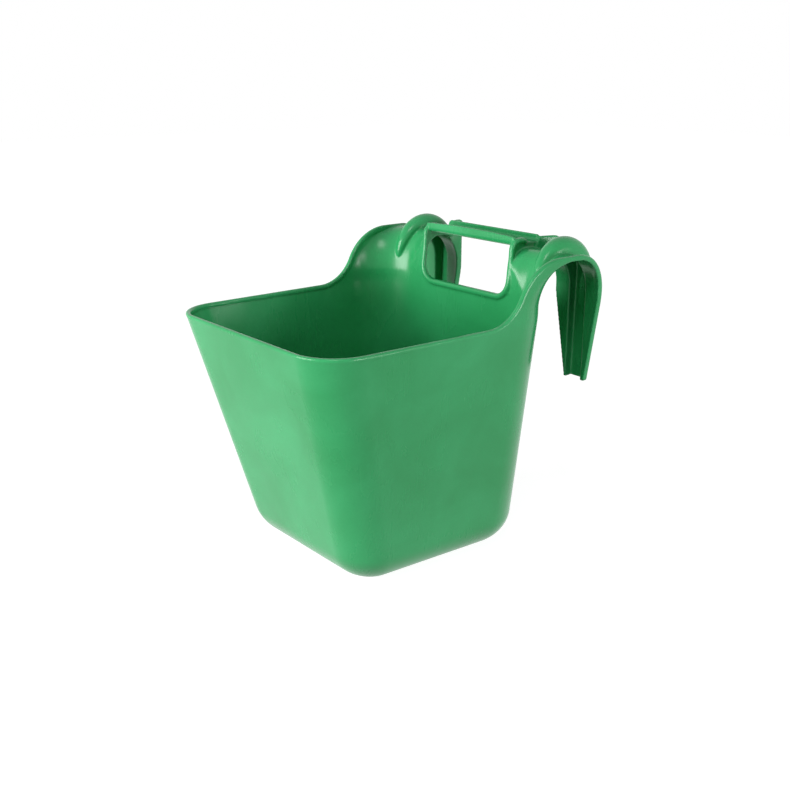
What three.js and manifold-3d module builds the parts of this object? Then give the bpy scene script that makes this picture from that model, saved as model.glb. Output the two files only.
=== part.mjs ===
// A hook-over feed manger for a stable door or rail, moulded in one plastic.
// Millimetres, +Z up. The manger stands on its flat base, its open mouth up. +Y points to the door side,
// where the two hooks reach over the rail, and +X is the right-hand side seen from the front.
// The origin is on the ground, under the middle of the whole outline.

import * as THREE from 'three';
import Module from 'manifold-3d';

const wasm = await Module();
wasm.setup();

// Wall, and the sizes of the basin on its outside at the ground and at the rim. Front and back reach are
// measured from the foot line, a line across the manger that lies just in front of the back wall.
const wall = 3;
const rimHeight = 242.4;
const ground = {
  frontHalf: 96.5,
  backHalf: 104.8,
  frontReach: 206.1,
  backReach: 4,
  frontRadius: 37.5,
  backRadius: 51,
};
const mouth = {
  frontHalf: 130.9,
  backHalf: 136.2,
  frontReach: 269.6,
  backReach: 6,
  frontRadius: 44.2,
  backRadius: 53,
};
const groundFillet = 32.6;

// Bead round the mouth, which runs on along the outer edge of each hook and gets deeper on its way there.
const rimDepth = 4.4;
const edgeDepth = 5.3;
const legDepth = 6.9;
const beadOut = 0.3;
const beadIn = 1.7;

// Sweep of the side rims up to the hooks, as two arcs with a straight between them.
const sweepLowRadius = 44;
const sweepHighRadius = 56;
const sweepSlope = THREE.MathUtils.degToRad(63);
const crownFront = 3.5;
const crownTop = 299.2;
const sweepLead = 20;

// Arch of the hooks, seen from the side: the web's underside, and how far its edges stand proud of it.
const archMiddle = 27;
const archRadius = 35.5;
const archLand = 2;
const edgeLip = 0.4;

// Flare that carries the back wall and its corners up to the arch: it starts a little above the rim, and
// its power draws it out near the top.
const flareRise = 7.6;
const flarePower = 1.25;

// Leg of each hook: half distances from the middle of the manger to its two edges.
const legTopInner = 75;
const legTopOuter = 132;
const tipInner = 91.7;
const tipOuter = 118.5;
const tipHeight = 163;
const innerEdgeWidth = 3.2;
const legEase = 14;
const innerTurn = THREE.MathUtils.degToRad(60);

// Gusset on the inner edge of each hook: a plate behind the grip, whose rear top corner is rounded the less
// the higher its power.
const gussetStart = THREE.MathUtils.degToRad(17);
const gussetRise = 7.5;
const gussetPower = 12;

// Hollow rib over each hook. Its back is a circle in the side view, which straightens down the leg. Its root
// on the flare is a crescent, narrower and further out than the rest.
const ribInset = 32.7;
const ribHalf = 12.5;
const ribCircleY = 38.35;
const ribCircleZ = 273;
const ribRadius = 39.3;
const ribTipReach = 76;
const ribStart = THREE.MathUtils.degToRad(19);
const ribTurnStart = THREE.MathUtils.degToRad(-15);
const ribTurnPower = 1.4;
const ribRootHalf = 3;
const ribRootShift = 3.5;
const ribPower = 2.3;
const grooveShare = 0.58;
const grooveStart = 0.3;
const ribFootShare = 0.4;
const ribFloorShare = 0.8;

// Hand opening in the back wall, and the gutter-shaped grip over it. Widths are counted from the manger's
// side or from the opening's edge, and heights from the rim, the underside of the arch or the grip's floor.
const handInset = 73.5;
const handSill = 8.6;
const handRadius = 15;
const collarWidth = 4;
const collarProud = 0.5;
const collarLeanShare = 0.325;
const collarTopDepth = 10;
const collarTopRise = 7;
const gripLead = 8;
const gripRise = 5.7;
const gripFrontRise = 9.3;
const gripRearRise = 9;
const gripReach = 44.5;
const gripRound = 5;
const rearLipOver = 2.8;
const gripEndWidth = 2.7;
const panelEndWidth = 12.3;

// Faceting and cutting.
const overrun = 1;
const cornerSteps = 8;
const filletSteps = 5;
const flareSteps = 6;
const arcSteps = 8;
const sweepSteps = 6;
const legSteps = 5;
const ribSteps = 10;
const gripSteps = 4;
const legPower = 1.5;
const weldLength = 0.02;

// Sizes worked out from those above.
const lerp = THREE.MathUtils.lerp;
const archSpring = crownTop - edgeDepth + edgeLip - archRadius;
const underside = archSpring + archRadius;
const seam = rimHeight - rimDepth;
const flareStart = rimHeight + flareRise;
const flareEnd = archMiddle - archLand;
const sweepRise = crownTop - rimHeight;
const sweepStraight =
  (sweepRise - (sweepLowRadius + sweepHighRadius) * (1 - Math.cos(sweepSlope))) / Math.sin(sweepSlope);
const sweepRun =
  (sweepLowRadius + sweepHighRadius) * Math.sin(sweepSlope) + sweepStraight * Math.cos(sweepSlope);
const sweepFront = crownFront - sweepRun - sweepLead;
const collarFront = mouth.backReach - wall - collarProud;
const quarter = Math.PI / 2;
const ribMiddle = mouth.backHalf - ribInset;
const handHalf = mouth.backHalf - handInset;
const handBottom = rimHeight + handSill;
const gripUnder = underside + gripRise;
const gripFront = gripUnder + gripFrontRise;
const gripRear = gripUnder + gripRearRise;
const gussetTop = gripUnder + gussetRise;
const legReach = archRadius + legDepth - edgeLip;
const collarLean = lerp(archSpring, gripUnder, collarLeanShare);
const collarTop = gripUnder + collarTopRise;
const rearLipHalf = handHalf + rearLipOver;
const gripHalf = handHalf - gripEndWidth;
const panelHalf = handHalf + panelEndWidth;

const plastic = { color: 0x2c9650, roughness: 0.35, metalness: 0 };

// The plan of the basin at a height: where its corners turn, and how its sides are tilted.
function plan(height) {
  const share = Math.min(height, rimHeight) / rimHeight;
  const size = {};
  for (const key of Object.keys(ground)) size[key] = lerp(ground[key], mouth[key], share);
  const tilt = Math.atan2(size.backHalf - size.frontHalf, size.backReach + size.frontReach);
  const sideReach = Math.cos(tilt) * size.backHalf - Math.sin(tilt) * size.backReach;
  const corner = (y, radius) => ({
    x: (sideReach - radius + Math.sin(tilt) * y) / Math.cos(tilt),
    y,
    radius,
  });
  return {
    tilt,
    sideReach,
    backReach: size.backReach,
    front: corner(size.frontRadius - size.frontReach, size.frontRadius),
    back: corner(size.backReach - size.backRadius, size.backRadius),
  };
}

// A point of a corner, at an angle from +X, drawn in from the outside of the plan by inset.
function cornerPoint(corner, angle, inset) {
  const radius = Math.max(corner.radius - inset, overrun);
  return [corner.x + radius * Math.cos(angle), corner.y + radius * Math.sin(angle)];
}

// Half of the distance across the basin at a place y of its straight sides.
function sideHalf(shape, y, inset) {
  return (shape.sideReach - inset + Math.sin(shape.tilt) * y) / Math.cos(shape.tilt);
}

function steps(count, from, to) {
  return Array.from({ length: count + 1 }, (_, i) => lerp(from, to, i / count));
}

// One closed ring of the basin's plan, from the front round the right-hand side to the back and home again.
function ring(height, inset) {
  const shape = plan(height);
  const right = [
    ...steps(cornerSteps, -quarter, -shape.tilt).map((angle) => cornerPoint(shape.front, angle, inset)),
    ...steps(cornerSteps, -shape.tilt, quarter).map((angle) => cornerPoint(shape.back, angle, inset)),
  ];
  const left = right.map(([x, y]) => [-x, y]).reverse();
  return [...right, ...left].map(([x, y]) => new THREE.Vector3(x, y, height));
}

// A solid from points and triangles, turned so that its faces point out.
function solid(points, triangles) {
  let volume = 0;
  for (let t = 0; t < triangles.length; t += 3) {
    const [a, b, c] = [points[triangles[t]], points[triangles[t + 1]], points[triangles[t + 2]]];
    volume += a.dot(new THREE.Vector3().crossVectors(b, c));
  }
  const outward = volume > 0 ? triangles : [...triangles].reverse();
  const mesh = new wasm.Mesh({
    numProp: 3,
    vertProperties: new Float32Array(points.flatMap((point) => point.toArray())),
    triVerts: new Uint32Array(outward),
  });
  return new wasm.Manifold(mesh);
}

// A closed skin over loops of points, all with the same count. An open row of loops gets a cap at each end,
// in strips between each point and the one that faces it from the loop's other end.
function skin(loops, closed = false) {
  const count = loops[0].length;
  const triangles = [];
  const rows = closed ? loops.length : loops.length - 1;
  for (let row = 0; row < rows; row++) {
    const above = (row + 1) % loops.length;
    for (let i = 0; i < count; i++) {
      const next = (i + 1) % count;
      const [a, b, c, d] = [row * count + i, row * count + next, above * count + next, above * count + i];
      triangles.push(a, b, c, a, c, d);
    }
  }
  const last = (loops.length - 1) * count;
  for (let i = 0; !closed && i + 1 < count / 2; i++) {
    const [j, k] = [count - 1 - i, count - 2 - i];
    if (k > i + 1) triangles.push(i, j, k, last + i, last + k, last + j);
    triangles.push(i, k, i + 1, last + i, last + i + 1, last + k);
  }
  return solid(loops.flat(), triangles);
}

// A flat outline, run out between two places. The place function turns its two numbers and the way along
// the run into a point.
function prism(outline, from, to, place) {
  const contour = outline.map(([a, b]) => new THREE.Vector2(a, b));
  if (THREE.ShapeUtils.isClockWise(contour)) contour.reverse();
  const count = contour.length;
  const triangles = [];
  for (const [a, b, c] of THREE.ShapeUtils.triangulateShape(contour, [])) {
    triangles.push(c, b, a, a + count, b + count, c + count);
  }
  for (let i = 0; i < count; i++) {
    const next = (i + 1) % count;
    triangles.push(i, next, next + count, i, next + count, i + count);
  }
  const points = [from, to].flatMap((way) => contour.map(({ x, y }) => place(x, y, way)));
  return solid(points, triangles);
}

const alongX = (y, z, way) => new THREE.Vector3(way, y, z);
const alongY = (x, z, way) => new THREE.Vector3(x, way, z);

function box([left, front, bottom], [right, back, top]) {
  return prism([[front, bottom], [back, bottom], [back, top], [front, top]], left, right, alongX);
}

function joined(pieces) {
  return pieces.reduce((whole, piece) => whole.add(piece));
}

// Basin: floor, rounded foot and four walls, up to the underside of the bead.
function basinSolid() {
  const shell = (inset) => [
    ...steps(filletSteps, 0, quarter).map((angle) => {
      const radius = groundFillet - inset;
      const height = inset + radius * (1 - Math.cos(angle));
      return ring(height, inset + radius * (1 - Math.sin(angle)));
    }),
    ring(seam, inset),
  ];
  return skin([...shell(0), ...shell(wall).reverse()]);
}

// Bead round the mouth, still whole.
function beadRing() {
  return skin(
    [
      ring(seam, -beadOut),
      ring(rimHeight, -beadOut),
      ring(rimHeight, wall + beadIn),
      ring(seam, wall + beadIn),
    ],
    true,
  );
}

// The sheet of the hooks is followed from the wall up its flare, over the flat land on the crown, round the
// arch and down the leg. A station says where, and a depth is counted from the top skin to the underside.
const flareStations = steps(flareSteps, 0, quarter).map((angle) => ({ part: 'flare', angle }));
const archStations = steps(arcSteps, 0, quarter).map((angle) => ({ part: 'arch', angle }));
const legStations = steps(legSteps, 0, 1)
  .slice(1)
  .map((share) => ({ part: 'leg', z: lerp(archSpring, tipHeight, share ** legPower) }));
const legEnd = { part: 'leg', z: tipHeight - overrun };

const springPlan = plan(archSpring);

// Side view of the sheet at a station, for a place on the back wall whose y is given.
function sheetSide(station, y, depth) {
  const radius = archRadius + wall - depth;
  if (station.part === 'flare') {
    const reach = flareEnd - Math.max(y, springPlan.back.y);
    const rise = archSpring + radius - flareStart;
    return [
      y + reach * (1 - Math.cos(station.angle)),
      flareStart + rise * Math.sin(station.angle) ** flarePower,
    ];
  }
  if (station.part === 'arch') {
    return [archMiddle + radius * Math.sin(station.angle), archSpring + radius * Math.cos(station.angle)];
  }
  return [archMiddle + radius, station.z];
}

// How far the outer edge of a hook stands out of the sheet at a station.
function edgeProud(station) {
  const share = station.part === 'arch' ? THREE.MathUtils.smoothstep(station.angle, 0, quarter) : 1;
  return lerp(edgeDepth, legDepth, share) - edgeLip - wall;
}

// Where the back wall and its corner lie at a distance from the middle.
function backLine(x, depth) {
  const { back } = springPlan;
  const radius = back.radius - wall + depth;
  if (x <= back.x) return back.y + radius;
  return back.y + Math.sqrt(radius ** 2 - (x - back.x) ** 2);
}

function sheetAt(station, x, depth, side) {
  const [y, z] = sheetSide(station, backLine(x, depth), depth);
  return new THREE.Vector3(side * x, y, z);
}

// How far the taper of the leg has come, from a gentle start at the top to 1 at the tip.
function taper(z) {
  const drop = archSpring - z;
  const length = archSpring - tipHeight - legEase / 2;
  return drop < legEase ? drop ** 2 / (2 * legEase * length) : (drop - legEase / 2) / length;
}

// Half distance from the middle of the manger to the outer edge of a hook.
function outerEdge(station) {
  const crown = sideHalf(springPlan, archMiddle, -beadOut);
  if (station.part === 'leg') return lerp(legTopOuter, tipOuter, taper(station.z));
  return lerp(crown, legTopOuter, THREE.MathUtils.smoothstep(station.angle, 0, quarter));
}

// Half distance from the middle of the manger to the inner edge of a hook.
function innerEdge(station) {
  if (station.part === 'flare') return handHalf;
  if (station.part === 'leg') return lerp(legTopInner, tipInner, taper(station.z));
  return lerp(handHalf, legTopInner, THREE.MathUtils.smoothstep(station.angle, 0, innerTurn));
}

// Upper walls and the flare that carries them back to the crown, round both rear corners in one sheet. What
// moves back along the side walls moves out with them, because they widen towards the back.
function yokeSolid() {
  const root = handHalf + innerEdgeWidth / 2;
  const half = (height, depth) => {
    const shape = plan(height);
    const inset = wall - depth;
    const angles = steps(cornerSteps, -shape.tilt, quarter);
    const corner = angles.map((angle) => cornerPoint(shape.back, angle, inset));
    return [[sideHalf(shape, sweepFront, inset), sweepFront], ...corner, [root, shape.backReach - inset]];
  };
  const skinLoop = (height, shift) => {
    const layer = (depth) => {
      const right = half(height, depth).map(([x, y]) => {
        const [along, lift] = shift(y, depth);
        const outward = THREE.MathUtils.clamp((x - springPlan.back.x) / springPlan.back.radius, 0, 1);
        return new THREE.Vector3(x + outward * Math.tan(springPlan.tilt) * (along - y), along, lift);
      });
      const left = right.map((point) => new THREE.Vector3(-point.x, point.y, point.z)).reverse();
      return [...right, ...left];
    };
    return [...layer(0), ...layer(wall).reverse()];
  };
  return skin([
    ...[seam, rimHeight].map((height) => skinLoop(height, (y) => [y, height])),
    ...flareStations.map((station) => skinLoop(archSpring, (y, depth) => sheetSide(station, y, depth))),
  ]);
}

// Web of one hook, from the crown down to the tip.
function webSolid(side) {
  const crown = flareStations.at(-1);
  const columns = (depth) => {
    const angles = steps(cornerSteps, quarter, -springPlan.tilt);
    const root = handHalf + innerEdgeWidth / 2;
    const corner = angles.map((angle) => cornerPoint(springPlan.back, angle, wall - depth));
    return [[root, springPlan.backReach - wall + depth], ...corner];
  };
  const shares = columns(0).map(([x], _, all) => (x - all[0][0]) / (all.at(-1)[0] - all[0][0]));
  const first = [0, wall].map((depth) =>
    columns(depth).map(([x, y]) => {
      const [along, lift] = sheetSide(crown, y, depth);
      return new THREE.Vector3(side * x, along - overrun, lift);
    }),
  );
  const row = (station) => {
    const inner = innerEdge(station) + innerEdgeWidth / 2;
    const outer = outerEdge(station) - (beadOut + wall + beadIn) / 2;
    return [0, wall].map((depth) => {
      const [y, z] = sheetSide(station, 0, depth);
      return shares.map((share) => new THREE.Vector3(side * lerp(inner, outer, share), y, z));
    });
  };
  const layers = [first, ...[...archStations, ...legStations].map(row)];
  return skin(layers.map(([top, bottom]) => [...top, ...bottom.reverse()]));
}

// Bead from the rim to the tip of a hook, as its edges in the side view: top, and low at the other side of
// its depth, each with its half distance. It runs along the rim, sweeps up to the crown, and goes on round
// the arch and down the leg.
function beadLine() {
  const low = { y: crownFront - sweepRun, z: rimHeight + sweepLowRadius };
  const high = { y: crownFront, z: crownTop - sweepHighRadius };
  const turn = ({ y, z }, radius, angle) => ({
    top: [y + radius * Math.sin(angle), z - radius * Math.cos(angle)],
    down: [Math.sin(angle), -Math.cos(angle)],
  });
  const line = [
    { top: [sweepFront, rimHeight], down: [0, -1] },
    ...steps(sweepSteps, 0, sweepSlope).map((angle) => turn(low, sweepLowRadius, angle)),
    ...steps(sweepSteps, sweepSlope, 0).map((angle) => turn(high, -sweepHighRadius, angle)),
  ];
  const sweep = line.map(({ top: [y, z], down }) => {
    const deep = lerp(rimDepth, edgeDepth, (z - rimHeight) / sweepRise);
    const under = [y + down[0] * deep, z + down[1] * deep];
    const half = (place, height) => sideHalf(plan(height), place, -beadOut);
    return { top: [y, z], under, half: half(y, z), underHalf: half(...under) };
  });
  const hook = [...archStations, ...legStations].map((station) => {
    const half = outerEdge(station);
    const under = sheetSide(station, 0, wall + edgeLip);
    return { top: sheetSide(station, 0, -edgeProud(station)), under, half, underHalf: half };
  });
  return { sweep, hook };
}

function outerBead(side) {
  const { sweep, hook } = beadLine();
  const width = beadOut + wall + beadIn;
  return skin(
    [...sweep, ...hook].map(({ top, under, half, underHalf }) => [
      new THREE.Vector3(side * half, ...top),
      new THREE.Vector3(side * (half - width), ...top),
      new THREE.Vector3(side * (underHalf - width), ...under),
      new THREE.Vector3(side * underHalf, ...under),
    ]),
  );
}

// Everything above the middle of the bead along the sides, which the sweep leaves open.
function sweepCut() {
  const line = beadLine().sweep.map(({ top, under }) => [
    (top[0] + under[0]) / 2,
    (top[1] + under[1]) / 2,
  ]);
  const above = crownTop + overrun;
  const start = sweepFront - overrun;
  const outline = [[start, line[0][1]], ...line, [crownFront, above], [start, above]];
  const reach = mouth.backHalf + overrun;
  return prism(outline, -reach, reach, alongX);
}

// How far the inner edge of a hook reaches out from the middle of its arch.
function innerReach(station) {
  if (station.part === 'leg' || station.angle < gussetStart) {
    return archRadius + wall + edgeProud(station);
  }
  const back = legReach / Math.sin(station.angle);
  const above = (gussetTop - archSpring) / Math.cos(station.angle);
  return (back ** -gussetPower + above ** -gussetPower) ** (-1 / gussetPower);
}

function innerBead(side) {
  return skin(
    [...archStations, ...legStations].map((station) => {
      const inner = innerEdge(station);
      const out = archRadius + wall - innerReach(station);
      const corner = (x, depth) => {
        const [y, z] = sheetSide(station, 0, depth);
        return new THREE.Vector3(side * x, y, z);
      };
      return [
        corner(inner + innerEdgeWidth, out),
        corner(inner, out),
        corner(inner, wall + edgeLip),
        corner(inner + innerEdgeWidth, wall + edgeLip),
      ];
    }),
  );
}

// How far the rib has come at a station, from 0 at its root to 1 on the crown and beyond.
function ribShare(station) {
  return station.part === 'flare' ? (station.angle - ribStart) / (quarter - ribStart) : 1;
}

function ribCentre(station) {
  return ribMiddle + ribRootShift * (1 - ribShare(station)) ** 2;
}

function ribWidth(station) {
  return lerp(ribRootHalf, ribHalf, Math.sqrt(ribShare(station)));
}

// Back of the hollow rib in the side view.
function ribBack(station) {
  if (station.part === 'flare') {
    const angle = lerp(ribTurnStart, quarter, ribShare(station) ** ribTurnPower);
    return [ribCircleY - ribRadius * Math.cos(angle), ribCircleZ + ribRadius * Math.sin(angle)];
  }
  if (station.part === 'arch') {
    const angle = station.angle;
    return [ribCircleY + ribRadius * Math.sin(angle), ribCircleZ + ribRadius * Math.cos(angle)];
  }
  const share = (archSpring - station.z) / (archSpring - tipHeight);
  return [lerp(ribCircleY + ribRadius, ribTipReach, share), station.z];
}

// How far the rib stands out of the sheet, as a step in the side view.
function ribStep(station) {
  const foot = sheetAt(station, ribCentre(station), wall / 2, 1);
  const [y, z] = ribBack(station);
  return [y - foot.y, z - foot.z];
}

const ribRoots = steps(flareSteps, ribStart, quarter)
  .slice(0, -1)
  .map((angle) => ({ part: 'flare', angle }));
const ribStations = [...ribRoots, ...archStations, ...legStations];

function ribSolid(side) {
  const angles = steps(ribSteps, 0, Math.PI);
  const spread = (value) => Math.sign(value) * Math.abs(value) ** (2 / ribPower);
  const loop = (station) => {
    const [stepY, stepZ] = ribStep(station);
    const place = (angle) => ribCentre(station) + ribWidth(station) * spread(Math.cos(angle));
    const top = angles.map((angle) => {
      const share = angle < Math.PI && angle > 0 ? spread(Math.sin(angle)) : 0;
      const step = new THREE.Vector3(0, stepY * share, stepZ * share);
      return sheetAt(station, place(angle), ribFootShare * wall, side).add(step);
    });
    const floor = angles.map((angle) => sheetAt(station, place(angle), ribFloorShare * wall, side));
    return [...top, ...floor.reverse()];
  };
  return skin(ribStations.map(loop));
}

// Groove inside the rib, open towards the rail and at the tip.
function grooveCut(side) {
  const start = ribStations.findIndex((station) => ribShare(station) > grooveStart);
  const stations = [...ribStations.slice(start), legEnd];
  return skin(
    stations.map((station) => {
      const [stepY, stepZ] = ribStep(station);
      const roof = new THREE.Vector3(0, stepY * grooveShare, stepZ * grooveShare);
      const half = ribWidth(station) - wall;
      const [near, far] = [ribCentre(station) - half, ribCentre(station) + half];
      return [
        sheetAt(station, near, wall / 2, side).add(roof),
        sheetAt(station, far, wall / 2, side).add(roof),
        sheetAt(station, far, wall + overrun, side),
        sheetAt(station, near, wall + overrun, side),
      ];
    }),
  );
}

// Cheek beside the hand opening, between its edge and the flare, which carries one end of the grip.
function cheekSolid(side) {
  const turn = Math.asin((gripReach - archMiddle) / archRadius);
  const under = [...flareStations, ...steps(2, 0, turn).map((angle) => ({ part: 'arch', angle }))];
  const outline = [
    [collarFront, flareStart],
    [collarFront, collarLean],
    [gripLead, gripUnder],
    [gripLead, gripFront],
    [gripLead + collarTopDepth, collarTop],
    [archMiddle, gripUnder + wall],
    [gripReach, gripUnder + wall],
    ...under.map((station) => sheetSide(station, springPlan.backReach, wall)).reverse(),
  ];
  return prism(outline, side * handHalf, side * (handHalf + collarWidth), alongX);
}

// Grip: a gutter open upwards, whose front lip tops the hand opening.
function gripSolid() {
  const turn = (y, z, radius, from, to) =>
    steps(gripSteps, from, to).map((angle) => [y + radius * Math.cos(angle), z + radius * Math.sin(angle)]);
  const [front, back] = [gripLead + gripRound, gripReach - gripRound];
  const height = gripUnder + gripRound;
  const outline = [
    [gripLead, gripFront],
    ...turn(front, height, gripRound, Math.PI, Math.PI + quarter),
    ...turn(back, height, gripRound, -quarter, 0),
    ...turn(back, height, gripRound - wall, 0, -quarter),
    ...turn(front, height, gripRound - wall, Math.PI + quarter, Math.PI),
    [gripLead + wall, gripFront],
  ];
  const reach = handHalf + collarWidth / 2;
  const trough = prism(outline, -reach, reach, alongX);
  const rearLip = box([-rearLipHalf, gripReach - wall, height], [rearLipHalf, gripReach, gripRear]);
  return trough.add(rearLip);
}

// Hand opening, cut through the back wall and the flare behind it.
function handCut() {
  const turn = (x, from, to) =>
    steps(cornerSteps, from, to).map((angle) => [
      x + handRadius * Math.cos(angle),
      handBottom + handRadius + handRadius * Math.sin(angle),
    ]);
  const top = underside + wall + overrun;
  const outline = [
    [-handHalf, top],
    ...turn(handRadius - handHalf, Math.PI, Math.PI + quarter),
    ...turn(handHalf - handRadius, -quarter, 0),
    [handHalf, top],
  ];
  return prism(outline, collarFront - overrun, archMiddle + overrun, alongY);
}

// The whole upper moulding, before it is divided into its members.
function upperSolid() {
  const walls = yokeSolid().subtract(sweepCut()).subtract(handCut());
  const hooks = [1, -1].flatMap((side) => [
    webSolid(side),
    outerBead(side),
    innerBead(side),
    ribSolid(side),
    cheekSolid(side),
  ]);
  return joined([walls, ...hooks, gripSolid()]).subtract(joined([1, -1].map(grooveCut)));
}

const upper = upperSolid();
const reach = mouth.backHalf + wall + ribRadius;
const depth = mouth.frontReach + reach;
const top = gripRear + ribRadius;
const gripBox = () => box([-gripHalf, -depth, underside - overrun], [gripHalf, depth, top]);

// A member of one side, cut from the upper moulding between two half distances and two places along Y.
function sideMember(side, [inner, outer], [front, back], bottom) {
  const [left, right] = side > 0 ? [inner, outer] : [-outer, -inner];
  return upper.intersect(box([left, front, bottom], [right, back, top]));
}

const members = {
  basin: basinSolid(),
  rim: beadRing().intersect(box([-reach, -depth, seam - overrun], [reach, sweepFront, top])),
  back_panel: upper
    .intersect(box([-panelHalf, sweepFront, seam], [panelHalf, archMiddle, top]))
    .subtract(gripBox()),
  grip: upper.intersect(gripBox()),
  shoulder_left: sideMember(-1, [panelHalf, reach], [sweepFront, archMiddle], seam),
  shoulder_right: sideMember(1, [panelHalf, reach], [sweepFront, archMiddle], seam),
  hook_left: sideMember(-1, [gripHalf, reach], [archMiddle, depth], tipHeight),
  hook_right: sideMember(1, [gripHalf, reach], [archMiddle, depth], tipHeight),
};

// Triangles of a mesh, after both ends of every edge shorter than the weld length have become one point.
function welded({ vertProperties, triVerts }) {
  const home = Array.from({ length: vertProperties.length / 3 }, (_, i) => i);
  const find = (i) => (home[i] === i ? i : (home[i] = find(home[i])));
  const point = (i) => new THREE.Vector3().fromArray(vertProperties, 3 * i);
  for (let i = 0; i < triVerts.length; i++) {
    const [a, b] = [triVerts[i], triVerts[i % 3 === 2 ? i - 2 : i + 1]];
    if (point(a).distanceTo(point(b)) < weldLength) home[find(a)] = find(b);
  }
  const kept = [];
  for (let t = 0; t < triVerts.length; t += 3) {
    const [a, b, c] = [find(triVerts[t]), find(triVerts[t + 1]), find(triVerts[t + 2])];
    if (a !== b && b !== c && c !== a) kept.push(a, b, c);
  }
  return kept;
}

function member(name, piece) {
  const mesh3d = piece.getMesh();
  const geometry = new THREE.BufferGeometry();
  geometry.setAttribute('position', new THREE.BufferAttribute(mesh3d.vertProperties, 3));
  geometry.setIndex(welded(mesh3d));
  geometry.computeVertexNormals();
  const mesh = new THREE.Mesh(geometry, new THREE.MeshStandardMaterial(plastic));
  mesh.name = name;
  return mesh;
}

const manger = new THREE.Group();
manger.add(...Object.entries(members).map(([name, piece]) => member(name, piece)));
manger.position.y = (mouth.frontReach + beadOut - ribCircleY - ribRadius) / 2;

export default manger;
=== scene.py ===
"""Looks of the hook-over feed manger: one glossy green moulding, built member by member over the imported
frame."""

import math

import bmesh
import bpy
import numpy as np
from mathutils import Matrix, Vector
from mathutils.bvhtree import BVHTree


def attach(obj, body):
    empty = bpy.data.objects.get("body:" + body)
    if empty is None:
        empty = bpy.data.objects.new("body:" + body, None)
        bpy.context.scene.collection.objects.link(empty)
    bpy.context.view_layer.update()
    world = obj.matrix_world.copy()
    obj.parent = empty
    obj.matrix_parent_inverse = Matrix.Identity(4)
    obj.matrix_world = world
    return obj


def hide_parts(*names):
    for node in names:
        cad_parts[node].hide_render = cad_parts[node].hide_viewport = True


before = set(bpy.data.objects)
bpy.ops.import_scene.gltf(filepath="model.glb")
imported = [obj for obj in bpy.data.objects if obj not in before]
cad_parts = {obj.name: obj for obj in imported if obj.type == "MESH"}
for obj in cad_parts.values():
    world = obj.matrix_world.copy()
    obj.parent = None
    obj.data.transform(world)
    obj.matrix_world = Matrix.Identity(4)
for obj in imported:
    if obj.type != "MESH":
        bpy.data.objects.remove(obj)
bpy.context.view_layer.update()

QUARTER = math.pi / 2

# Sizes are in millimetres, in a frame whose y is 0 at the foot of the back wall. The first of them are the
# tub's, at the ground and at the mouth.
WALL = 3.0
RIM = 242.4
GROUND = dict(
    front_half=96.5,
    back_half=104.8,
    front_reach=206.1,
    back_reach=4.0,
    front_radius=37.5,
    back_radius=51.0,
)
MOUTH = dict(
    front_half=130.9,
    back_half=136.2,
    front_reach=269.6,
    back_reach=6.0,
    front_radius=44.2,
    back_radius=53.0,
)
FILLET = 32.6
LEAST_RADIUS = 1.0

# Bead along the rim, the sweep and the hooks. BEAD_FIT keeps it within the facets of the CAD.
RIM_DEPTH = 4.4
EDGE_DEPTH = 5.3
LEG_DEPTH = 6.9
BEAD_OUT = 0.3
BEAD_IN = 1.7
BEAD_FIT = 0.03
BEAD_WIDTH = BEAD_OUT + WALL + BEAD_IN
OUTER_ROUND = 2.4
INNER_ROUND = 1.0
LIP = 0.4
SEAM = RIM - RIM_DEPTH

# Sweep from the rim to the crown: two arcs and a straight between them.
LOW_RADIUS = 44.0
HIGH_RADIUS = 56.0
SLOPE = math.radians(63)
CROWN_FRONT = 3.5
CROWN_TOP = 299.2
LEAD = 20.0
SWEEP_RISE = CROWN_TOP - RIM
STRAIGHT = (SWEEP_RISE - (LOW_RADIUS + HIGH_RADIUS) * (1 - math.cos(SLOPE))) / math.sin(SLOPE)
SWEEP_RUN = (LOW_RADIUS + HIGH_RADIUS) * math.sin(SLOPE) + STRAIGHT * math.cos(SLOPE)
SWEEP_FRONT = CROWN_FRONT - SWEEP_RUN - LEAD

# Arch over the rail. The flare leads to it from the back wall, from higher up in the middle than at the
# corners.
ARCH_Y = 27.0
ARCH_RADIUS = 35.5
ARCH_LAND = 2.0
SPRING = CROWN_TOP - EDGE_DEPTH + LIP - ARCH_RADIUS
UNDERSIDE = SPRING + ARCH_RADIUS
FLARE_END = ARCH_Y - ARCH_LAND
FLARE_HIGH = 280.0
FLARE_LOW = 253.0
FLARE_FROM = 68.0
FLARE_SPAN = 24.0
FLARE_POWER = 1.35

# Legs of the hooks, and the flange along their inner edge, which is a gusset behind the grip.
LEG_TOP_INNER = 75.0
LEG_TOP_OUTER = 132.0
TIP_INNER = 91.7
TIP_OUTER = 118.5
TIP = 163.0
LEG_EASE = 14.0
INNER_WIDTH = 3.2
INNER_TURN = math.radians(60)
GUSSET_START = math.radians(17)
GUSSET_TOP = 307.5
GUSSET_POWER = 12
LEAST_COSINE = 1e-3

# Rib of each hook, and the groove under it. Their depths are counted from the inner side of the sheet.
RIB_X = 103.5
RIB_HALF = 12.5
RIB_LEAST_HALF = 1.0
RIB_Y = 38.35
RIB_Z = 273.0
RIB_RADIUS = 39.3
RIB_TIP_Y = 76.0
RIB_START = math.radians(-17)
RIB_SHIFT = 3.5
RIB_WALL = 2.5
RIB_DEPTHS = (0.4 * WALL, 0.8 * WALL)
GROOVE_ROOF = 5.0
GROOVE_ROUND = 1.8
GROOVE_LEAST_HALF = 3 * RIB_WALL
GROOVE_DEPTHS = (WALL + 0.5, WALL + 1.2)
GROOVE_OVERRUN = 2.0

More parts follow.
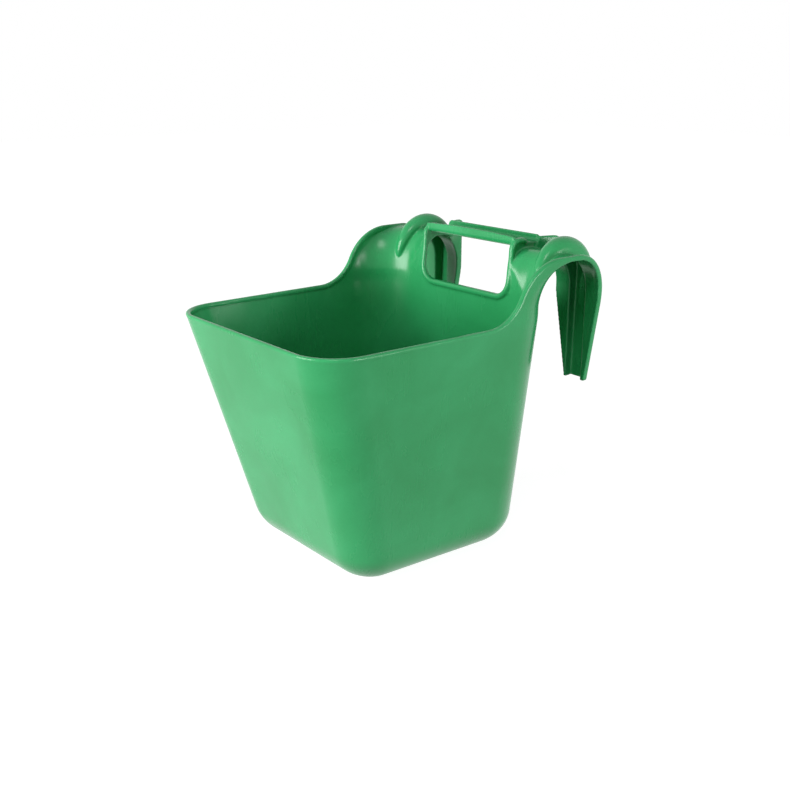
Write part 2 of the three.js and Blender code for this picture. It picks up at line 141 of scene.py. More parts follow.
# Hand opening, with a collar round its front edge and a cheek under each end of the grip. The crest of the
# collar beside the opening is given in the side view.
HAND_HALF = 62.7
HAND_BOTTOM = 251.0
HAND_RADIUS = 15.0
COLLAR_WIDTH = 6.0
COLLAR_PROUD = 0.5
COLLAR_LAP = 2.0
COLLAR_FRONT = MOUTH["back_reach"] - WALL - COLLAR_PROUD
COLLAR_RISE = [(-0.4, 236.0), (0.0, 258.0), (1.8, 272.0), (3.6, 288.0), (4.2, 298.5)]
COLLAR_TURN = [(5.4, 302.6), (8.4, 306.0), (13.6, 308.0), (20.0, 308.2), (26.0, 306.0)]
COLLAR_SECTION = [(0, -4.5), (0, -1.6), (0.7, -0.5), (1.9, 0), (3.6, 0), (5.2, -0.6), (6, -1.8), (6, -4.5)]
CHEEK_WIDTH = 4.0
CHEEK_RISE_BACK = 2.5
CHEEK_TURN_BACK = 1.5
CHEEK_TURN_DOWN = 2.5
CHEEK_LAND = 2.0

# Grip.
GRIP_LEAD = 8.0
GRIP_UNDER = 300.0
GRIP_FRONT = 309.3
GRIP_CROWN = 1.8
GRIP_REAR = 309.0
GRIP_REACH = 44.5
GRIP_ROUND = 5.0
GRIP_BEVEL = 0.8
REAR_LIP_HALF = 65.5

# Planes between the members, and how far what is cut there runs past them.
GRIP_HALF = 60.0
PANEL_HALF = 75.0
PANEL_DROP = 1.0
PANEL_TOP = UNDERSIDE - PANEL_DROP
OVERRUN = 14.0
RIM_LAP = 8.0
SINK = 1.0
CUT_CLEAR = 1.0
SWEEP_CUT_FRONT = 4.0
SWEEP_CUT_ABOVE = 8.0
SWEEP_CUT_HALF = 150.0

# From this frame to the CAD's, whose y is 0 in the middle of the whole.
SHIFT = (MOUTH["front_reach"] + BEAD_OUT - RIB_Y - RIB_RADIUS) / 2

# How finely the surfaces are drawn. The voxel is in metres.
CORNER_STEPS = 24
STRAIGHT_STEPS = 10
VOXEL = 0.0009
PLAIN_ROUNDS = 2
KEPT_ROUNDS = 14
PULL_IN = 0.5
PUSH_OUT = -0.52
LIGHTEN = 0.35
SHARP_ANGLE = math.radians(50)
LEAST_LENGTH = 1e-7


def lerp(a, b, t):
    return a + (b - a) * t


def smoothstep(t):
    t = min(max(t, 0.0), 1.0)
    return t * t * (3 - 2 * t)


def steps(count, a, b):
    return [lerp(a, b, i / count) for i in range(count + 1)]


class Plan:
    """Plan of the tub at a height: where its corners turn, and how its sides are tilted."""

    def __init__(self, height):
        t = min(height, RIM) / RIM
        size = {k: lerp(GROUND[k], MOUTH[k], t) for k in GROUND}
        length = size["back_reach"] + size["front_reach"]
        self.tilt = math.atan2(size["back_half"] - size["front_half"], length)
        self.side = math.cos(self.tilt) * size["back_half"] - math.sin(self.tilt) * size["back_reach"]
        self.back_reach = size["back_reach"]
        self.front = self.corner(size["front_radius"] - size["front_reach"], size["front_radius"])
        self.back = self.corner(size["back_reach"] - size["back_radius"], size["back_radius"])

    def corner(self, y, radius):
        x = (self.side - radius + math.sin(self.tilt) * y) / math.cos(self.tilt)
        return x, y, radius

    def half(self, y, inset):
        return (self.side - inset + math.sin(self.tilt) * y) / math.cos(self.tilt)


def corner_point(corner, angle, inset):
    x, y, radius = corner
    r = max(radius - inset, LEAST_RADIUS)
    return x + r * math.cos(angle), y + r * math.sin(angle)


def spread(a, b, count):
    """Points between a and b, without either end."""
    return [(lerp(a[0], b[0], i / count), lerp(a[1], b[1], i / count)) for i in range(1, count)]


def ring(height, inset):
    """One closed ring of the plan, evenly filled along its straights."""
    shape = Plan(height)
    front = [corner_point(shape.front, a, inset) for a in steps(CORNER_STEPS, -QUARTER, -shape.tilt)]
    back = [corner_point(shape.back, a, inset) for a in steps(CORNER_STEPS, -shape.tilt, QUARTER)]
    right = front + spread(front[-1], back[0], STRAIGHT_STEPS) + back
    left = [(-x, y) for x, y in reversed(right)]
    rear, lead = spread(right[-1], left[0], STRAIGHT_STEPS), spread(left[-1], right[0], STRAIGHT_STEPS)
    return [(x, y, height) for x, y in right + rear + left + lead]


SPRING_PLAN = Plan(SPRING)


class Solid:
    """Points and faces of a closed solid, in millimetres."""

    def __init__(self, points, faces):
        self.points = np.asarray(points, float)
        self.faces = [tuple(f) for f in faces]


def bands(loops):
    """The quads between each loop of points and the next. All loops have the same count."""
    count = len(loops[0])
    faces = []
    for row in range(len(loops) - 1):
        here, above = row * count, (row + 1) * count
        for i in range(count):
            j = (i + 1) % count
            faces.append((here + i, here + j, above + j, above + i))
    return faces


def tube(loops):
    """A closed skin over a row of loops, each end closed by one face."""
    count = len(loops[0])
    last = (len(loops) - 1) * count
    caps = [tuple(reversed(range(count))), tuple(range(last, last + count))]
    return Solid([p for loop in loops for p in loop], bands(loops) + caps)


def skin(loops):
    """A closed skin over a row of loops, each end closed in strips between a point and the one that faces it
    from the loop's other end."""
    count = len(loops[0])
    last = (len(loops) - 1) * count
    faces = bands(loops)
    i = 0
    while i + 1 < count / 2:
        j, k = count - 1 - i, count - 2 - i
        quad = (i, j, k, i + 1) if k > i + 1 else (i, j, i + 1)
        faces.append(quad)
        faces.append(tuple(last + v for v in reversed(quad)))
        i += 1
    return Solid([p for loop in loops for p in loop], faces)


def prism(outline, a, b, place):
    """An outline drawn out from a to b, with place giving the point for both of its values and the third."""
    count = len(outline)
    points = [place(u, v, a) for u, v in outline] + [place(u, v, b) for u, v in outline]
    faces = [tuple(reversed(range(count))), tuple(range(count, 2 * count))]
    faces += [(i, (i + 1) % count, (i + 1) % count + count, i + count) for i in range(count)]
    return Solid(points, faces)


def along_x(y, z, way):
    return way, y, z


def along_y(x, z, way):
    return x, way, z


def to_object(name, solid):
    """A mesh object in metres, in the frame of the CAD, with its faces turned out."""
    points = solid.points.copy()
    points[:, 1] += SHIFT
    data = bpy.data.meshes.new(name)
    data.from_pydata((points / 1000).tolist(), [], solid.faces)
    data.validate()
    work = bmesh.new()
    work.from_mesh(data)
    bmesh.ops.recalc_face_normals(work, faces=work.faces)
    if work.calc_volume() < 0:
        bmesh.ops.reverse_faces(work, faces=work.faces)
    work.to_mesh(data)
    work.free()
    result = bpy.data.objects.new(name, data)
    bpy.context.scene.collection.objects.link(result)
    return result


def apply(target):
    """Applies the modifiers of an object to its mesh."""
    graph = bpy.context.evaluated_depsgraph_get()
    data = bpy.data.meshes.new_from_object(target.evaluated_get(graph))
    old = target.data
    target.modifiers.clear()
    target.data = data
    bpy.data.meshes.remove(old)


def cut(target, tools):
    for tool in tools:
        step = target.modifiers.new("cut", "BOOLEAN")
        step.operation = "DIFFERENCE"
        step.solver = "MANIFOLD"
        step.object = tool
        apply(target)


# Side view of the sheet of the hooks, which climbs the back wall, flares back to the crown, goes round the
# arch and down the leg.
FLARE_ROWS = [("flare", a) for a in steps(22, 0, QUARTER)]
ARCH_ROWS = [("arch", a) for a in steps(34, 0, QUARTER)]
LEG_ROWS = [("leg", lerp(SPRING, TIP, t)) for t in steps(36, 0, 1)[1:]]
LEG_TOP_ROWS = LEG_ROWS[:12]


def side_view(row, y, depth, x=HAND_HALF):
    """Place in the side view of a row of the sheet, at a depth from its inner side. For the flare it depends
    on the place in the plan that the row rises from."""
    part, at = row
    radius = ARCH_RADIUS + WALL - depth
    if part == "flare":
        reach = FLARE_END - max(y, SPRING_PLAN.back[1])
        start = lerp(FLARE_HIGH, FLARE_LOW, smoothstep((x - FLARE_FROM) / FLARE_SPAN))
        return y + reach * (1 - math.cos(at)), start + (SPRING + radius - start) * math.sin(at) ** FLARE_POWER
    if part == "arch":
        return ARCH_Y + radius * math.sin(at), SPRING + radius * math.cos(at)
    return ARCH_Y + radius, at


def back_line(x, depth):
    """The back wall's y at a distance from the middle, round the corner."""
    cx, cy, radius = SPRING_PLAN.back
    radius += depth - WALL
    if x <= cx:
        return cy + radius
    return cy + math.sqrt(max(radius**2 - (x - cx) ** 2, 0.0))


def edge_proud(row):
    """How far the outer edge of a hook stands out of its sheet."""
    share = smoothstep(row[1] / QUARTER) if row[0] == "arch" else 1.0
    return lerp(EDGE_DEPTH, LEG_DEPTH, share) - LIP - WALL


def taper(z):
    """Share of the way that a leg has narrowed, eased in at its top."""
    drop = SPRING - z
    length = SPRING - TIP - LEG_EASE / 2
    return drop**2 / (2 * LEG_EASE * length) if drop < LEG_EASE else (drop - LEG_EASE / 2) / length


def outer_edge(row):
    if row[0] == "leg":
        return lerp(LEG_TOP_OUTER, TIP_OUTER, taper(row[1]))
    crown = SPRING_PLAN.half(ARCH_Y, -BEAD_OUT)
    return lerp(crown, LEG_TOP_OUTER, smoothstep(row[1] / QUARTER))


def inner_edge(row):
    if row[0] == "leg":
        return lerp(LEG_TOP_INNER, TIP_INNER, taper(row[1]))
    return lerp(HAND_HALF, LEG_TOP_INNER, smoothstep(row[1] / INNER_TURN))


def yoke():
    """Upper walls and the flare that carries them back to the crown, round both rear corners in one sheet."""

    def eased(height):
        """The height whose plan is drawn: just over the seam it slows down, to stay there."""
        way = min(max(height - SEAM, 0.0), 2 * RIM_DEPTH)
        return min(height, SEAM) + way - way**2 / (4 * RIM_DEPTH)

    def layer(height, depth, move):
        shape = Plan(eased(height))
        inset = WALL - depth
        side = [(shape.half(y, inset), y) for y in steps(30, SWEEP_FRONT - OVERRUN, shape.back[1])][:-1]
        corner = [corner_point(shape.back, a, inset) for a in steps(CORNER_STEPS, -shape.tilt, QUARTER)]
        back = [(x, shape.back_reach - inset) for x in steps(12, shape.back[0], 0)][1:-1]
        right = []
        for x, y in side + corner + back:
            along, lift = move(x, y, depth)
            outward = min(max((x - shape.back[0]) / shape.back[2], 0.0), 1.0)
            right.append((x + outward * math.tan(shape.tilt) * (along - y), along, lift))
        return right + [(-x, y, z) for x, y, z in reversed(right)]

    def loop(height, move):
        return layer(height, 0, move) + layer(height, WALL, move)[::-1]

    def wall(height):
        return loop(height, lambda x, y, depth: (y, height))

    def flare(row):
        return loop(SPRING, lambda x, y, depth: side_view(row, y, depth, x))

    heights = steps(14, SEAM - OVERRUN, SEAM + 2 * RIM_DEPTH)
    return skin([wall(height) for height in heights] + [flare(row) for row in FLARE_ROWS])


def web(side):
    """The web of one hook, from just inside the flare down to the tip."""
    root = HAND_HALF + INNER_WIDTH / 2
    turns = steps(CORNER_STEPS, QUARTER, -SPRING_PLAN.tilt)
    corner = [corner_point(SPRING_PLAN.back, a, WALL) for a in turns]
    span = corner[-1][0] - root
    shares = sorted(set([0.0] + [(x - root) / span for x, _ in corner]))

    def crown(depth):
        points = [(root, SPRING_PLAN.back_reach - WALL + depth)]
        points += [corner_point(SPRING_PLAN.back, a, WALL - depth) for a in turns]
        result = []
        for x, y in points:
            along, lift = side_view(FLARE_ROWS[-1], y, depth)
            result.append((side * x, along - SINK, lift))
        return result

    def row(at):
        inner = inner_edge(at) + INNER_WIDTH / 2
        outer = outer_edge(at) - BEAD_WIDTH / 2
        layers = []
        for depth in (0, WALL):
            y, z = side_view(at, 0, depth)
            layers.append([(side * lerp(inner, outer, s), y, z) for s in shares])
        return layers[0] + layers[1][::-1]

    first = crown(0) + crown(WALL)[::-1]
    return skin([first] + [row(at) for at in ARCH_ROWS + LEG_ROWS])


def bead_line():
    """Edges of the bead along the sweep and the hook. Each has its top and its underside in the side view,
    and the half distances of both."""
    low = (CROWN_FRONT - SWEEP_RUN, RIM + LOW_RADIUS)
    high = (CROWN_FRONT, CROWN_TOP - HIGH_RADIUS)
    line = [(y, RIM, 0.0) for y in steps(6, SWEEP_FRONT - OVERRUN, low[0])[:-1]]
    for a in steps(24, 0, SLOPE):
        line.append((low[0] + LOW_RADIUS * math.sin(a), low[1] - LOW_RADIUS * math.cos(a), a))
    for a in steps(24, SLOPE, 0):
        line.append((high[0] - HIGH_RADIUS * math.sin(a), high[1] + HIGH_RADIUS * math.cos(a), a))
    sweep = []
    for y, z, a in line:
        deep = lerp(RIM_DEPTH, EDGE_DEPTH, (z - RIM) / SWEEP_RISE)
        under = (y + math.sin(a) * deep, z - math.cos(a) * deep)
        sweep.append(((y, z), under, Plan(z).half(y, -BEAD_OUT), Plan(under[1]).half(under[0], -BEAD_OUT)))
    hook = []
    for row in ARCH_ROWS + LEG_ROWS:
        half = outer_edge(row)
        hook.append((side_view(row, 0, -edge_proud(row)), side_view(row, 0, WALL + LIP), half, half))
    return sweep, hook


def bead_outline(deep):
    """Section of the bead, as widths from its outer side and heights. It is well rounded outside, and less
    so inside."""
    outer = [(1 - math.cos(a), math.sin(a) - 1) for a in steps(4, 0, QUARTER)]
    inner = [(math.sin(a) - 1, math.cos(a) - 1) for a in steps(2, 0, QUARTER)]
    top = [(OUTER_ROUND * w, deep + OUTER_ROUND * h) for w, h in outer]
    top += [(BEAD_WIDTH + INNER_ROUND * w, deep + INNER_ROUND * h) for w, h in inner]
    return [(0.0, 0.0)] + top + [(BEAD_WIDTH, 0.0)]


def outer_bead(side):
    """Bead along the sweep, the crown and the outer edge of one hook."""
    sweep, hook = bead_line()
    loops = []
    for top, under, half, low_half in sweep + hook:
        deep = math.dist(top, under)
        loop = []
        for width, height in bead_outline(deep):
            share = height / deep
            x = lerp(low_half, half, share) - width - BEAD_FIT
            loop.append((side * x, lerp(under[0], top[0], share), lerp(under[1], top[1], share)))
        loops.append(loop)
    return skin(loops)


def rim_bead():
    """Bead round the front and both sides of the mouth, as far as the sweep, and the top of the wall under
    it."""

    def path(height, inset):
        shape = Plan(height)
        end = SWEEP_FRONT + RIM_LAP
        front = [corner_point(shape.front, a, inset) for a in steps(CORNER_STEPS, -QUARTER, -shape.tilt)]
        side = [(shape.half(y, inset), y) for y in steps(12, shape.front[1], end)][1:]
        right = front + side
        left = [(-x, y) for x, y in reversed(right)]
        return [(x, y, height) for x, y in left + spread(left[-1], right[0], 16) + right]

    outline = [(SEAM + height, width - BEAD_OUT) for width, height in bead_outline(RIM_DEPTH)]
    low, high = SEAM - OVERRUN, RIM - SINK
    wall = [(low, 0.0), (high, 0.0), (high, WALL), (low, WALL)]
    result = []
    for section in (outline, wall):
        paths = [path(height, inset) for height, inset in section]
        result.append(skin([[p[i] for p in paths] for i in range(len(paths[0]))]))
    return result


def sweep_cut():
    """What is cut away over the sweep, down to the middle of its bead."""
    sweep, _ = bead_line()
    line = [((t[0] + u[0]) / 2, (t[1] + u[1]) / 2) for t, u, _, _ in sweep]
    start, above = line[0][0] - SWEEP_CUT_FRONT, CROWN_TOP + SWEEP_CUT_ABOVE
    outline = [(start, line[0][1])] + line + [(CROWN_FRONT, above), (start, above)]
    return prism(outline, -SWEEP_CUT_HALF, SWEEP_CUT_HALF, along_x)


def inner_reach(row):
    """How far the inner edge of a hook reaches out from the middle of its arch. Behind the grip it is a
    gusset with a rounded corner."""
    if row[0] == "leg":
        return ARCH_RADIUS + WALL + edge_proud(row)
    if row[1] < GUSSET_START:
        return ARCH_RADIUS + WALL
    back = (ARCH_RADIUS + LEG_DEPTH - LIP) / math.sin(row[1])
    above = (GUSSET_TOP - SPRING) / max(math.cos(row[1]), LEAST_COSINE)
    return (back**-GUSSET_POWER + above**-GUSSET_POWER) ** (-1 / GUSSET_POWER)


def inner_flange(side):
    """Flange along the inner edge of one hook, with its gusset."""
    loops = []
    for row in ARCH_ROWS + LEG_ROWS:
        near = side * inner_edge(row)
        far = side * (inner_edge(row) + INNER_WIDTH)
        top = side_view(row, 0, ARCH_RADIUS + WALL - inner_reach(row))
        low = side_view(row, 0, WALL + LIP)
        loops.append([(far, *top), (near, *top), (near, *low), (far, *low)])
    return skin(loops)


def sheet_line(x, depth):
    """The sheet's side view at a distance from the middle, as angles and distances from the rib's own
    centre."""
    y = back_line(x, depth)
    line = np.array([side_view(row, y, depth, x) for row in FLARE_ROWS + ARCH_ROWS + LEG_TOP_ROWS])
    angles = np.arctan2(line[:, 1] - RIB_Z, RIB_Y - line[:, 0])
    angles = np.where(angles < -QUARTER, angles + 2 * math.pi, angles)
    return angles, np.hypot(line[:, 0] - RIB_Y, line[:, 1] - RIB_Z)


class RibRow:
    """One section of the rib, part of the way round its circle or at a height down the leg. It starts narrow,
    further out, and widens into the full rib."""

    def __init__(self, turn=None, z=None):
        self.turn = turn
        self.z = z
        share = 1.0 if turn is None else min((turn - RIB_START) / (QUARTER - RIB_START), 1.0)
        self.centre = RIB_X + RIB_SHIFT * (1 - share) ** 2
        self.half = max(RIB_HALF * math.sqrt(share), RIB_LEAST_HALF)
        down = 0.0 if z is None else (RIB_Z - z) / (RIB_Z - TIP)
        self.ridge = lerp(RIB_RADIUS, RIB_TIP_Y - RIB_Y, down)

    def place(self, x, reach):
        if self.turn is None:
            return x, RIB_Y + reach, self.z
        return x, RIB_Y - reach * math.cos(self.turn), RIB_Z + reach * math.sin(self.turn)

    def foot(self, x, depth):
        """Reach of the sheet under the rib."""
        if self.turn is not None:
            return float(np.interp(self.turn, *sheet_line(x, depth)))
        radius = ARCH_RADIUS + WALL - depth
        rise = max(self.z - SPRING, 0.0)
        return ARCH_Y + math.sqrt(radius**2 - rise**2) - RIB_Y

    def loop(self, side, section, depths):
        """A section between two depths of the sheet. Its top is given as places across the rib and drops
        from its ridge."""
        top, floor = [], []
        for across, drop in [(section[0][0], None)] + section + [(section[-1][0], None)]:
            x = self.centre + across
            foot = self.foot(x, depths[0])
            top.append(self.place(side * x, foot if drop is None else max(self.ridge - drop, foot)))
            floor.append(self.place(side * x, self.foot(x, depths[1])))
        return top + floor[::-1]

    def back(self, side):
        section = [(self.half * math.cos(a), self.half * (1 - math.sin(a))) for a in steps(20, 0, math.pi)]
        return self.loop(side, section, RIB_DEPTHS)

    def hollow(self, side):
        half = self.half - RIB_WALL - GROOVE_ROUND
        corner = [(math.cos(a), 1 - math.sin(a)) for a in steps(4, 0, QUARTER)]
        right = [(half + GROOVE_ROUND * w, GROOVE_ROOF + GROOVE_ROUND * h) for w, h in corner]
        return self.loop(side, right + [(-w, h) for w, h in reversed(right)], GROOVE_DEPTHS)


RIB_ROWS = [RibRow(turn=a) for a in steps(30, RIB_START, QUARTER) + steps(28, QUARTER, math.pi)[1:]]
RIB_ROWS += [RibRow(z=z) for z in steps(24, RIB_Z, TIP)[1:]]


def rib(side):
    return skin([row.back(side) for row in RIB_ROWS])


def groove(side):
    rows = [row for row in RIB_ROWS if row.half > GROOVE_LEAST_HALF]
    rows.append(RibRow(z=TIP - GROOVE_OVERRUN))
    return skin([row.hollow(side) for row in rows])


def collar(side):
    """Raised frame round one half of the hand opening, from the middle of its sill to the grip. Each step of
    its path has a place, and the ways in which the section's width and its height run there."""

    def crest(z):
        return float(np.interp(z, [p[1] for p in COLLAR_RISE], [p[0] for p in COLLAR_RISE]))

    low = HAND_BOTTOM + HAND_RADIUS
    bend = HAND_HALF - HAND_RADIUS
    sill = crest(HAND_BOTTOM)
    path = [((x, sill, HAND_BOTTOM), (0, -1), (-1, 0)) for x in steps(8, -COLLAR_LAP, bend)[:-1]]
    for a in steps(12, -QUARTER, 0):
        x, z = bend + HAND_RADIUS * math.cos(a), low + HAND_RADIUS * math.sin(a)
        path.append(((x, crest(z), z), (math.cos(a), math.sin(a)), (-1, 0)))
    line = [(crest(z), z) for z in steps(10, low, COLLAR_RISE[-1][1])[1:]] + COLLAR_TURN
    for i, (y, z) in enumerate(line):
        before, after = line[max(i - 1, 0)], line[min(i + 1, len(line) - 1)]
        length = math.dist(before, after)
        out = (-(after[1] - before[1]) / length, (after[0] - before[0]) / length)
        path.append(((HAND_HALF, y, z), (1, 0), out))
    loops = []
    for (x, y, z), (across, up), (ahead, lift) in path:
        loop = []
        for w, h in COLLAR_SECTION:
            loop.append((side * (x + across * w), y + ahead * h, z + up * w + lift * h))
        loops.append(loop)
    return skin(loops)


def cheek(side):
    """Web beside the hand opening, behind its collar, which carries one end of the grip."""
    turn = math.asin((GRIP_REACH - ARCH_Y) / ARCH_RADIUS)
    under = FLARE_ROWS + [("arch", a) for a in steps(6, 0, turn)]
    outline = [(y + CHEEK_RISE_BACK, max(z, FLARE_LOW)) for y, z in COLLAR_RISE]
    outline += [(y + CHEEK_TURN_BACK, z - CHEEK_TURN_DOWN) for y, z in COLLAR_TURN]
    outline += [(ARCH_Y + CHEEK_LAND, GRIP_UNDER + WALL), (GRIP_REACH, GRIP_UNDER + WALL)]
    outline += [side_view(row, SPRING_PLAN.back_reach, WALL) for row in reversed(under)]
    return prism(outline, side * HAND_HALF, side * (HAND_HALF + CHEEK_WIDTH), along_x)


def grip():
    """A gutter open upwards, whose crowned front lip tops the hand opening."""

    def turn(y, z, radius, a, b):
        return [(y + radius * math.cos(t), z + radius * math.sin(t)) for t in steps(8, a, b)]

    front, back, height = GRIP_LEAD + GRIP_ROUND, GRIP_REACH - GRIP_ROUND, GRIP_UNDER + GRIP_ROUND
    inner = GRIP_ROUND - WALL
    reach = HAND_HALF + COLLAR_WIDTH / 2
    loops = []
    for x in steps(24, -reach, reach):
        top = GRIP_FRONT + GRIP_CROWN * (1 - (x / reach) ** 2)
        outline = [(GRIP_LEAD, top - GRIP_BEVEL)]
        outline += turn(front, height, GRIP_ROUND, math.pi, math.pi + QUARTER)
        outline += turn(back, height, GRIP_ROUND, -QUARTER, 0)
        outline += turn(back, height, inner, 0, -QUARTER)
        outline += turn(front, height, inner, math.pi + QUARTER, math.pi)
        outline.append((GRIP_LEAD + WALL, top - GRIP_BEVEL))
        outline += [(GRIP_LEAD + WALL - GRIP_BEVEL, top), (GRIP_LEAD + GRIP_BEVEL, top)]
        loops.append([(x, y, z) for y, z in outline])
    near = GRIP_REACH - WALL
    lip = [(near, height), (GRIP_REACH, height), (GRIP_REACH, GRIP_REAR), (near, GRIP_REAR)]
    return [tube(loops), prism(lip, -REAR_LIP_HALF, REAR_LIP_HALF, along_x)]


def hand_cut():
    """What is cut away for the hand opening."""

    def turn(x, a, b):
        points = []
        for t in steps(12, a, b):
            points.append((x + HAND_RADIUS * math.cos(t), HAND_BOTTOM + HAND_RADIUS * (1 + math.sin(t))))
        return points

    top = UNDERSIDE + WALL + CUT_CLEAR
    outline = [(-HAND_HALF, top)]
    outline += turn(HAND_RADIUS - HAND_HALF, math.pi, math.pi + QUARTER)
    outline += turn(HAND_HALF - HAND_RADIUS, -QUARTER, 0)
    outline += [(HAND_HALF, top)]
    return prism(outline, COLLAR_FRONT - CUT_CLEAR, ARCH_Y + CUT_CLEAR, along_y)


def discard(target):
    """Removes an object and its mesh."""
    data = target.data
    bpy.data.objects.remove(target)
    bpy.data.meshes.remove(data)


def join(objects):
    """All the objects' meshes in the first one."""
    work = bmesh.new()
    for one in objects:
        work.from_mesh(one.data)
    work.to_mesh(objects[0].data)
    work.free()
    for one in objects[1:]:
        discard(one)
    return objects[0]


def relax(data, rounds, keep):
    """Evens out a mesh: each round moves every point towards the middle of its neighbours, and, where keep is
    set, back out again by nearly as much, which smooths it without shrinking."""
    count = len(data.vertices)
    points = np.empty(count * 3, np.float64)
    data.vertices.foreach_get("co", points)
    points = points.reshape(-1, 3)
    edges = np.empty(len(data.edges) * 2, np.int64)
    data.edges.foreach_get("vertices", edges)
    edges = edges.reshape(-1, 2)
    degree = np.bincount(edges.ravel(), minlength=count).astype(float)[:, None]

    def pull(weight):
        total = np.empty_like(points)
        for axis in range(3):
            total[:, axis] = np.bincount(edges[:, 0], points[edges[:, 1], axis], count)
            total[:, axis] += np.bincount(edges[:, 1], points[edges[:, 0], axis], count)
        return points + weight * (total / degree - points)

    for _ in range(rounds):
        points = pull(PULL_IN)
        if keep:
            points = pull(PUSH_OUT)
    data.vertices.foreach_set("co", points.ravel())
    data.update()


def upper_moulding():
    """Everything above the tub's seam in one mesh, its joints melted into each other as in a mould."""
    body = to_object("upper", yoke())
    tools = [to_object("cut", sweep_cut()), to_object("cut", hand_cut())]
    grooves = [to_object("cut", groove(side)) for side in (1, -1)]
    cut(body, tools + grooves)
    pieces = [body]
    for side, hollow in zip((1, -1), grooves):
        for make in (web, rib):
            piece = to_object("piece", make(side))
            cut(piece, [hollow])
            pieces.append(piece)
        pieces += [to_object("piece", make(side)) for make in (outer_bead, inner_flange, cheek, collar)]
    pieces += [to_object("piece", solid) for solid in rim_bead() + grip()]
    for tool in tools + grooves:
        discard(tool)
    whole = join(pieces)
    step = whole.modifiers.new("melt", "REMESH")
    step.mode = "VOXEL"
    step.voxel_size = VOXEL
    apply(whole)
    relax(whole.data, PLAIN_ROUNDS, False)
    relax(whole.data, KEPT_ROUNDS, True)
    return whole


def basin():
    """Floor, rounded foot and walls of the tub, up to the seam under its bead."""
    shell = []
    for inset in (0.0, WALL):
        radius = FILLET - inset
        rows = []
        for a in steps(14, 0, QUARTER):
            rows.append((inset + radius * (1 - math.cos(a)), inset + radius * (1 - math.sin(a))))
        rows += [(z, inset) for z in steps(12, FILLET, SEAM)[1:]]
        shell.append([ring(height, back) for height, back in rows])
    return tube(shell[0] + shell[1][::-1])


def shading_of(data):
    """A function that reads the smooth normal of a mesh at the point of its surface nearest to a place."""
    tree = BVHTree.FromPolygons([v.co for v in data.vertices], [p.vertices for p in data.polygons])
    points = [v.co.copy() for v in data.vertices]
    normals = [v.normal.copy() for v in data.vertices]
    corners = [tuple(p.vertices) for p in data.polygons]

    def read(place):
        spot, _, index, _ = tree.find_nearest(place)
        total = Vector((0, 0, 0))
        for v in corners[index]:
            total += normals[v] / max((points[v] - spot).length, LEAST_LENGTH)
        return total.normalized()

    return read


def part_of(data, name, sides, shading):
    """The piece of a mesh that lies inside all the given half spaces, closed where it was cut, with the
    shading of the whole mesh on its skin."""
    work = bmesh.new()
    work.from_mesh(data)
    caps = work.faces.layers.int.new("cap")
    for place, way in sides:
        geometry = work.verts[:] + work.edges[:] + work.faces[:]
        made = bmesh.ops.bisect_plane(work, geom=geometry, plane_co=place, plane_no=way, clear_outer=True)
        rim = [e for e in made["geom_cut"] if isinstance(e, bmesh.types.BMEdge) and e.is_boundary]
        if rim:
            filled = bmesh.ops.triangle_fill(work, edges=rim, normal=way, use_beauty=True)
            for face in filled["geom"]:
                if isinstance(face, bmesh.types.BMFace):
                    face[caps] = 1
    bmesh.ops.recalc_face_normals(work, faces=work.faces)
    work.verts.index_update()
    skin_normals = {}
    corners = []
    for face in work.faces:
        for vertex in face.verts:
            if face[caps]:
                corners.append(face.normal.copy())
                continue
            if vertex.index not in skin_normals:
                skin_normals[vertex.index] = shading(vertex.co)
            corners.append(skin_normals[vertex.index])
    result = bpy.data.meshes.new(name)
    work.to_mesh(result)
    work.free()
    result.attributes.remove(result.attributes["cap"])
    result.polygons.foreach_set("use_smooth", [True] * len(result.polygons))
    result.normals_split_custom_set(corners)
    piece = bpy.data.objects.new(name, result)
    bpy.context.scene.collection.objects.link(piece)
    return piece


# For each limit of a member, its axis and the way that is cut off there.
LIMITS = {
    "front": (1, -1),
    "back": (1, 1),
    "left": (0, -1),
    "right": (0, 1),
    "above": (2, -1),
    "below": (2, 1),
}


def half_spaces(limits):
    """Limits in millimetres as places and ways, in metres and in the frame of the CAD."""
    result = []
    for name, (axis, way) in LIMITS.items():
        if name not in limits:
            continue
        place = [0.0, 0.0, 0.0]
        normal = [0.0, 0.0, 0.0]
        place[axis] = (limits[name] + (SHIFT if axis == 1 else 0)) / 1000
        normal[axis] = way
        result.append((place, normal))
    return result


def weld(parts):
    """The parts as one piece, with the shading of each kept."""
    for one in parts:
        one.select_set(False)
    with bpy.context.temp_override(active_object=parts[0], selected_editable_objects=parts, object=parts[0]):
        bpy.ops.object.join()
    return parts[0]


